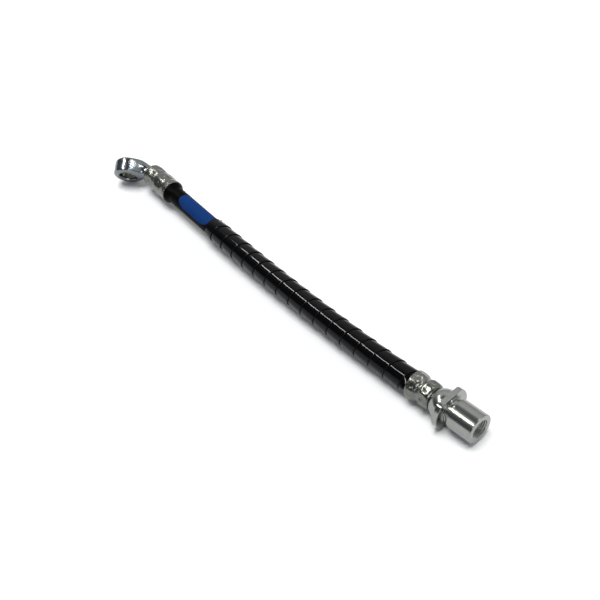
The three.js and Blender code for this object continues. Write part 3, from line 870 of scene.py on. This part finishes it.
def grid_rim(rows, columns):
    """Numbers of the points round the outside of a grid, in order."""
    rim = ([(0, j) for j in range(columns)] + [(i, columns - 1) for i in range(1, rows)]
           + [(rows - 1, j) for j in range(columns - 2, -1, -1)]
           + [(i, 0) for i in range(rows - 2, 0, -1)])
    return [i * columns + j for i, j in rim]


def mark_piece():
    """A film of paint on the bare hose, thinner at its edges and sunk a little into the rubber."""
    s, angle, film = mark_outline()
    top = on_route(s, HOSE_R + film, angle).reshape(-1, 3)
    base = on_route(s, np.full(s.shape, HOSE_R - MARK_SUNK), angle).reshape(-1, 3)
    rows, columns = s.shape
    faces = grid_faces(rows, columns, False, False)
    count = rows * columns
    faces += [tuple(count + index for index in reversed(face)) for face in faces]
    rim = grid_rim(rows, columns)
    for a, b in zip(rim, rim[1:] + rim[:1]):
        faces.append((a, b, count + b, count + a))
    return make_piece("mark_blue_film", np.vstack([top, base]), faces)


# Materials

def linear(hex_code):
    """An sRGB hex value as linear red, green, blue and alpha."""
    channels = [int(hex_code[i:i + 2], 16) / 255 for i in (1, 3, 5)]
    return tuple(c / 12.92 if c <= 0.04045 else ((c + 0.055) / 1.055) ** 2.4
                 for c in channels) + (1.0,)


def feed(tree, node, inputs):
    """Sets a node's inputs: each a value, an output, or a node, whose first output feeds it."""
    for key, value in inputs.items():
        if isinstance(value, bpy.types.Node):
            value = value.outputs[0]
        if isinstance(value, bpy.types.NodeSocket):
            tree.links.new(value, node.inputs[key])
        else:
            node.inputs[key].default_value = value


def add(tree, kind, inputs=None, **settings):
    """Adds a shader node of a kind, with its settings and inputs."""
    node = tree.nodes.new("ShaderNode" + kind)
    for name, value in settings.items():
        setattr(node, name, value)
    feed(tree, node, inputs or {})
    return node


def empty_tree(owner):
    """The cleared node tree of a material or world."""
    owner.use_nodes = True
    owner.node_tree.nodes.clear()
    return owner.node_tree


def new_material(name):
    """A material with its tree, its shader, and the place on the object that patterns follow."""
    material = bpy.data.materials.new(name)
    tree = empty_tree(material)
    shader = add(tree, "BsdfPrincipled")
    add(tree, "OutputMaterial", {"Surface": shader})
    place = add(tree, "TexCoord").outputs["Object"]
    return material, tree, shader, place


def finish_shader(tree, shader, colour, bump, others):
    """Feeds a mixed colour, a bump and the other inputs to the shader."""
    feed(tree, shader, {
        "Base Color": colour.outputs[MIXED_COLOUR], "Normal": bump, **others,
    })


def per_metre(size_mm):
    """Texture scale whose features are about this many millimetres."""
    return 1 / (size_mm * MM)


def bands_per_metre(spacing_mm):
    """Wave texture scale for bands at this spacing."""
    return np.pi / 10 / (spacing_mm * MM)


def turned_zinc_plated_steel():
    """Turned free-cutting steel, bright zinc: clear streaks, with faint tool marks round the axis."""
    material, tree, shader, place = new_material("turned_zinc_plated_steel")
    # Feed marks are 0.1 mm apart; drawn at 0.3 mm so that they show
    marks = add(tree, "TexWave", {
        "Vector": place, "Scale": bands_per_metre(0.3), "Distortion": 0.6, "Detail": 1.0,
    }, bands_direction="X")
    bloom = add(tree, "TexNoise", {"Vector": place, "Scale": per_metre(2.5), "Detail": 3.0})
    bore = add(tree, "Attribute", attribute_name="bore")
    outside = add(tree, "Mix", {
        FACTOR: bloom, COLOUR_A: linear("#94968f"), COLOUR_B: linear("#858888"),
    }, data_type="RGBA")
    # Painted shade darkens the threaded hole, apart from the flanks that face the mouth
    colour = add(tree, "Mix", {
        FACTOR: bore.outputs["Fac"], COLOUR_A: outside.outputs[MIXED_COLOUR],
        COLOUR_B: linear("#1b1a18"),
    }, data_type="RGBA")
    gloss = add(tree, "MapRange", {"Value": bloom, "To Min": 0.15, "To Max": 0.24})
    bump = add(tree, "Bump", {
        "Height": marks.outputs["Fac"], "Strength": 0.5, "Distance": 0.003 * MM,
    })
    finish_shader(tree, shader, colour, bump, {"Metallic": 1.0, "Roughness": gloss})
    return material


def forged_zinc_plated_steel():
    """Forged and bent steel, bright zinc: cool, smooth, softly uneven highlights."""
    material, tree, shader, place = new_material("forged_zinc_plated_steel")
    skin = add(tree, "TexNoise", {"Vector": place, "Scale": per_metre(2.4), "Detail": 2.0})
    grain = add(tree, "TexNoise", {"Vector": place, "Scale": per_metre(0.5), "Detail": 3.0})
    bore = add(tree, "Attribute", attribute_name="bore")
    outside = add(tree, "Mix", {
        FACTOR: skin, COLOUR_A: linear("#7f8588"), COLOUR_B: linear("#686e73"),
    }, data_type="RGBA")
    # The drilled hole is warmer and brighter than the forged skin
    colour = add(tree, "Mix", {
        FACTOR: bore.outputs["Fac"], COLOUR_A: outside.outputs[MIXED_COLOUR],
        COLOUR_B: linear("#83837e"),
    }, data_type="RGBA")
    gloss = add(tree, "MapRange", {"Value": grain, "To Min": 0.14, "To Max": 0.26})
    soft = add(tree, "Bump", {"Height": skin, "Strength": 0.8, "Distance": 0.2 * MM})
    bump = add(tree, "Bump", {
        "Height": grain, "Strength": 0.4, "Distance": 0.01 * MM, "Normal": soft,
    })
    finish_shader(tree, shader, colour, bump, {"Metallic": 1.0, "Roughness": gloss})
    return material


def pressed_zinc_plated_steel():
    """Deep-drawn shell squeezed in a crimping tool, bright zinc: mottled and a little warm."""
    material, tree, shader, place = new_material("pressed_zinc_plated_steel")
    mottle = add(tree, "TexNoise", {
        "Vector": place, "Scale": per_metre(2.3), "Detail": 3.0, "Roughness": 0.6,
    })
    rub = add(tree, "TexNoise", {"Vector": place, "Scale": per_metre(1.0), "Detail": 2.0})
    colour = add(tree, "Mix", {
        FACTOR: mottle, COLOUR_A: linear("#838580"), COLOUR_B: linear("#504f49"),
    }, data_type="RGBA")
    gloss = add(tree, "MapRange", {"Value": rub, "To Min": 0.14, "To Max": 0.36})
    soft = add(tree, "Bump", {"Height": mottle, "Strength": 0.9, "Distance": 0.26 * MM})
    bump = add(tree, "Bump", {"Height": rub, "Strength": 0.8, "Distance": 0.1 * MM, "Normal": soft})
    finish_shader(tree, shader, colour, bump, {"Metallic": 1.0, "Roughness": gloss})
    return material


def extruded_epdm_rubber():
    """Extruded and cured EPDM rubber: deep black, satin, with a slightly grained skin."""
    material, tree, shader, place = new_material("extruded_epdm_rubber")
    grain = add(tree, "TexNoise", {"Vector": place, "Scale": per_metre(0.35), "Detail": 4.0})
    cloud = add(tree, "TexNoise", {"Vector": place, "Scale": per_metre(6.0), "Detail": 2.0})
    colour = add(tree, "Mix", {
        FACTOR: cloud, COLOUR_A: linear("#040404"), COLOUR_B: linear("#080808"),
    }, data_type="RGBA")
    gloss = add(tree, "MapRange", {"Value": cloud, "To Min": 0.34, "To Max": 0.48})
    bump = add(tree, "Bump", {"Height": grain, "Strength": 0.5, "Distance": 0.03 * MM})
    # The IOR is below rubber's 1.5, which turned its deep black grey
    finish_shader(tree, shader, colour, bump, {
        "IOR": 1.15, "Specular IOR Level": 0.15, "Roughness": gloss,
    })
    return material


def wound_polyethylene_strip():
    """Extruded black polyethylene, wound warm: glossy, with die lines along the strip."""
    material, tree, shader, place = new_material("wound_polyethylene_strip")
    across = add(tree, "Attribute", attribute_name="across").outputs["Fac"]
    line_place = add(tree, "CombineXYZ", {"X": across})
    # Die lines are 0.1 to 0.5 mm apart; the values of the strip are in millimetres
    lines = add(tree, "TexNoise", {"Vector": line_place, "Scale": 1 / 0.5, "Detail": 2.0})
    handling = add(tree, "TexNoise", {"Vector": place, "Scale": per_metre(5.0), "Detail": 4.0})
    colour = add(tree, "Mix", {
        FACTOR: handling, COLOUR_A: linear("#040405"), COLOUR_B: linear("#08080a"),
    }, data_type="RGBA")
    # The raised edge is scuffed over about its first 0.3 mm
    scuff = add(tree, "MapRange", {"Value": across, "From Min": 0.45, "From Max": 0.25})
    smooth = add(tree, "MapRange", {"Value": handling, "To Min": 0.06, "To Max": 0.11})
    gloss = add(tree, "Mix", {FACTOR: scuff, NUMBER_A: smooth, NUMBER_B: 0.42}, data_type="FLOAT")
    bump = add(tree, "Bump", {"Height": lines, "Strength": 0.3, "Distance": 0.01 * MM})
    # The IOR is below polyethylene's 1.5, which turned its deep black grey
    finish_shader(tree, shader, colour, bump, {
        "IOR": 1.2, "Roughness": gloss.outputs[MIXED_NUMBER],
    })
    return material


def brushed_marking_paint():
    """Flat blue marking paint on rubber: even colour, a dull surface with the rubber's grain."""
    material, tree, shader, place = new_material("brushed_marking_paint")
    cover = add(tree, "TexNoise", {"Vector": place, "Scale": per_metre(4.0), "Detail": 4.0})
    grain = add(tree, "TexNoise", {"Vector": place, "Scale": per_metre(0.35), "Detail": 3.0})
    colour = add(tree, "Mix", {
        FACTOR: cover, COLOUR_A: linear("#083674"), COLOUR_B: linear("#072f68"),
    }, data_type="RGBA")
    bump = add(tree, "Bump", {"Height": grain, "Strength": 0.4, "Distance": 0.02 * MM})
    finish_shader(tree, shader, colour, bump, {"Roughness": 0.7, "IOR": 1.15})
    return material


def braided_rayon_cord():
    """Braided rayon cord in rubber: pale crossing strands with dark gaps."""
    material, tree, shader, place = new_material("braided_rayon_cord")
    # Strands are 1.2 mm wide and cross at an angle to the hose
    one_way = add(tree, "TexWave", {
        "Vector": place, "Scale": bands_per_metre(1.2),
    }, bands_direction="DIAGONAL")
    crossed = add(tree, "Mapping", {"Vector": place, "Rotation": (0.0, 0.0, 1.9)})
    other_way = add(tree, "TexWave", {
        "Vector": crossed, "Scale": bands_per_metre(1.2),
    }, bands_direction="DIAGONAL")
    strands = add(tree, "Math", {
        0: one_way.outputs["Fac"], 1: other_way.outputs["Fac"],
    }, operation="MAXIMUM")
    colour = add(tree, "Mix", {
        FACTOR: strands, COLOUR_A: linear("#6b6454"), COLOUR_B: linear("#d8d2c0"),
    }, data_type="RGBA")
    bump = add(tree, "Bump", {"Height": strands, "Distance": 0.15 * MM})
    finish_shader(tree, shader, colour, bump, {"Roughness": 0.85})
    return material


def white_painted_board():
    """Matt white studio board. The camera and the metal see it as white; its shadows stay."""
    material = bpy.data.materials.new("white_painted_board")
    tree = empty_tree(material)
    place = add(tree, "TexCoord").outputs["Object"]
    fibre = add(tree, "TexNoise", {"Vector": place, "Scale": per_metre(3.0), "Detail": 2.0})
    board = add(tree, "Mix", {
        FACTOR: fibre, COLOUR_A: linear("#f6f6f6"), COLOUR_B: linear("#f2f2f2"),
    }, data_type="RGBA")
    path = add(tree, "LightPath").outputs
    camera_or_metal = add(tree, "Math", {
        0: path["Is Camera Ray"], 1: path["Is Glossy Ray"],
    }, operation="ADD")
    seen = add(tree, "Math", {
        0: camera_or_metal, 1: path["Is Transmission Ray"],
    }, operation="ADD", use_clamp=True)
    colour = add(tree, "Mix", {
        FACTOR: seen, COLOUR_A: board.outputs[MIXED_COLOUR], COLOUR_B: FLOOR_SEEN,
    }, data_type="RGBA")
    matt = add(tree, "BsdfDiffuse", {"Color": colour.outputs[MIXED_COLOUR]})
    add(tree, "OutputMaterial", {"Surface": matt})
    return material


# Setting

def add_camera():
    """The photograph's viewpoint."""
    camera = bpy.data.cameras.new("camera")
    camera.lens = CAMERA_LENS
    camera.sensor_width = CAMERA_SENSOR
    camera.clip_start = CAMERA_NEAREST
    thing = bpy.data.objects.new("camera", camera)
    place = ORIGIN + np.array(CAMERA_PLACE) * MM
    sides = (Vector(CAMERA_RIGHT), Vector(CAMERA_TOP), Vector(CAMERA_BACK))
    thing.matrix_world = Matrix.Translation(Vector(place)) @ Matrix(sides).transposed().to_4x4()
    bpy.context.scene.collection.objects.link(thing)
    bpy.context.scene.camera = thing


def add_floor():
    mesh = bpy.data.meshes.new("floor")
    corners = [(-FLOOR_HALF, -FLOOR_HALF, 0), (FLOOR_HALF, -FLOOR_HALF, 0),
               (FLOOR_HALF, FLOOR_HALF, 0), (-FLOOR_HALF, FLOOR_HALF, 0)]
    mesh.from_pydata(corners, [], [(0, 1, 2, 3)])
    floor = bpy.data.objects.new("floor", mesh)
    floor.data.materials.append(white_painted_board())
    bpy.context.scene.collection.objects.link(floor)


def add_world():
    """A pale room with a dark ceiling, lighter behind the object than in front of it."""
    world = bpy.data.worlds.new("room")
    tree = empty_tree(world)
    direction = add(tree, "TexCoord").outputs["Generated"]
    parts = add(tree, "SeparateXYZ", {"Vector": direction}).outputs
    # The walls are dark in front, on the side of -Y, and white behind
    walls = add(tree, "MapRange", {
        "Value": parts["Y"], "From Min": -0.5, "From Max": 0.5, "To Min": 0.04, "To Max": 1.0,
    }, interpolation_type="SMOOTHSTEP")
    # They end at the ceiling, about 60 degrees up
    below_ceiling = add(tree, "MapRange", {
        "Value": parts["Z"], "From Min": 0.89, "From Max": 0.82,
    }, interpolation_type="SMOOTHSTEP")
    # All round, the lowest few degrees are as white as the floor
    near_horizon = add(tree, "MapRange", {
        "Value": parts["Z"], "From Min": 0.10, "From Max": 0.03,
    }, interpolation_type="SMOOTHSTEP")
    # The walls are lighter higher up
    higher = add(tree, "MapRange", {
        "Value": parts["Z"], "From Min": 0.15, "From Max": 0.65, "To Min": 0.62,
    })
    lit_walls = add(tree, "Math", {0: walls, 1: higher}, operation="MULTIPLY")
    room = add(tree, "Math", {0: lit_walls, 1: below_ceiling}, operation="MULTIPLY")
    light = add(tree, "Math", {0: room, 1: near_horizon}, operation="MAXIMUM")
    colour = add(tree, "Mix", {
        FACTOR: light, COLOUR_A: linear("#50575d"), COLOUR_B: linear("#ffffff"),
    }, data_type="RGBA")
    background = add(tree, "Background", {"Color": colour.outputs[MIXED_COLOUR], "Strength": 1.0})
    add(tree, "OutputWorld", {"Surface": background})
    bpy.context.scene.world = world


def add_key_lamp():
    """Soft sunlight without falloff, so that the floor keeps one colour to its edge."""
    key = bpy.data.lights.new("lamp_key", "SUN")
    key.energy = KEY_ENERGY
    key.angle = KEY_SPREAD
    thing = bpy.data.objects.new("lamp_key", key)
    thing.location = KEY_PLACE
    thing.rotation_euler = (-thing.location).to_track_quat("-Z", "Y").to_euler()
    thing.visible_glossy = False
    bpy.context.scene.collection.objects.link(thing)


def add_long_lamp(name, start, end, width, radiance, colour):
    """A long lamp from one point to another that shows in reflections and lights nothing else."""
    start, end = Vector(start), Vector(end)
    middle = 0.5 * (start + end)
    long_way = (end - start).normalized()
    back = middle - Vector(LAMPS_FACE)
    back = (back - back.dot(long_way) * long_way).normalized()
    side = back.cross(long_way)
    lamp = bpy.data.lights.new(name, "AREA")
    lamp.shape = "RECTANGLE"
    lamp.size = (end - start).length
    lamp.size_y = width
    lamp.energy = radiance * np.pi * lamp.size * width
    lamp.color = linear(colour)[:3]
    thing = bpy.data.objects.new(name, lamp)
    turn = Matrix((long_way, side, back)).transposed().to_4x4()
    thing.matrix_world = Matrix.Translation(middle) @ turn
    thing.visible_diffuse = False
    bpy.context.scene.collection.objects.link(thing)


add_camera()
add_floor()
add_world()
add_key_lamp()
for lamp_name, lamp_values in LONG_LAMPS.items():
    add_long_lamp(lamp_name, *lamp_values)
bpy.context.scene.view_settings.view_transform = "Standard"

turned_steel = turned_zinc_plated_steel()
forged_steel = forged_zinc_plated_steel()
pressed_steel = pressed_zinc_plated_steel()
rubber = extruded_epdm_rubber()
guard_plastic = wound_polyethylene_strip()
paint = brushed_marking_paint()
braid = braided_rayon_cord()

from_bracket_mouth = straight_placer(BRACKET_MOUTH, np.array([1.0, 0.0, 0.0]))
from_banjo_mouth = straight_placer(BANJO_MOUTH, BANJO_AXIS)

cover = hose_cover_piece()
fitting_threaded = bracket_fitting_piece()
ferrule_threaded = ferrule_piece("ferrule_bracket_end", BRACKET_FERRULE, from_bracket_mouth)
fitting_banjo = banjo_fitting_piece()
ferrule_banjo = ferrule_piece("ferrule_banjo_end", BANJO_FERRULE, from_banjo_mouth)
guard = spiral_guard_piece()
mark = mark_piece()

for piece, node, slot, material in [
    (cover, "hose_cover", "cover_rubber", rubber),
    (fitting_threaded, "bracket_fitting", "fitting_steel", turned_steel),
    (ferrule_threaded, "bracket_ferrule", "ferrule_steel", pressed_steel),
    (fitting_banjo, "banjo_fitting", "fitting_steel", forged_steel),
    (ferrule_banjo, "banjo_ferrule", "ferrule_steel", pressed_steel),
    (guard, "spiral_guard", "guard_plastic", guard_plastic),
    (mark, "identification_mark", "mark_blue", paint),
]:
    piece.data.materials.append(material)
    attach(piece, "root")
    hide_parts(node)

for node, material in [
    ("hose_inner_tube", rubber),
    ("hose_inner_braid", braid),
    ("hose_outer_braid", braid),
]:
    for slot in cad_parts[node].material_slots:
        slot.material = material
